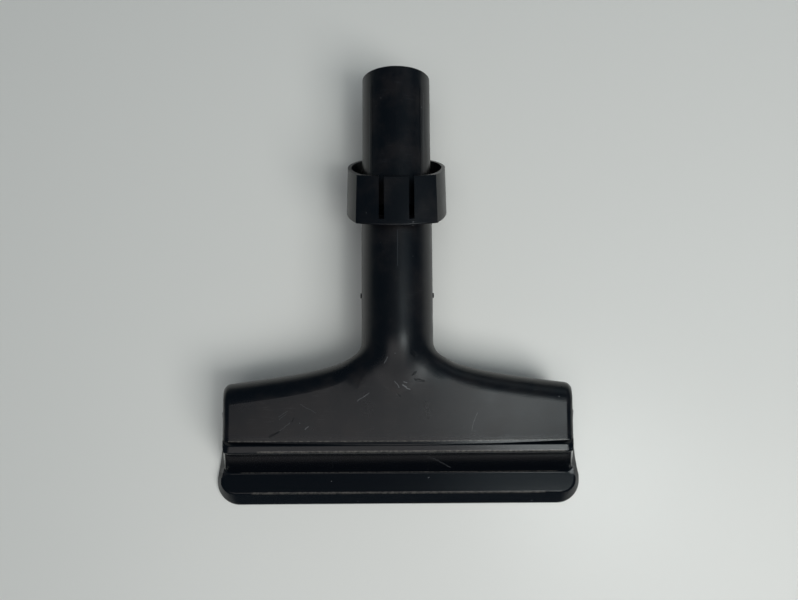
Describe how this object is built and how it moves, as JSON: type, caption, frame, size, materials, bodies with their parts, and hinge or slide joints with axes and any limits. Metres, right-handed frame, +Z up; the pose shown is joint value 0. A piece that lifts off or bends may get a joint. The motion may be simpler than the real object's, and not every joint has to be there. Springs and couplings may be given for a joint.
{
  "type": "vacuum upholstery nozzle",
  "caption": "Black moulded upholstery nozzle for a vacuum cleaner: wide head with a suction mouth and lint strips, flared throat, round neck, slotted slanted collar and push-fit spigot.",
  "frame": {"origin": "middle of the length and width, on the surface that the sole and the collar's back lie on", "axes": "+X across the head, +Y along the neck towards the spigot's end, +Z up from the surface"},
  "size_m": [0.1748, 0.2018, 0.044],
  "materials": {
    "body_plastic": "satin moulded",
    "lint_pile": "short velour pile"
  },
  "bodies": {
    "root": {"nozzle_body": "body_plastic", "front_lint_strip": "lint_pile", "rear_lint_strip": "lint_pile"}
  },
  "joints": []
}
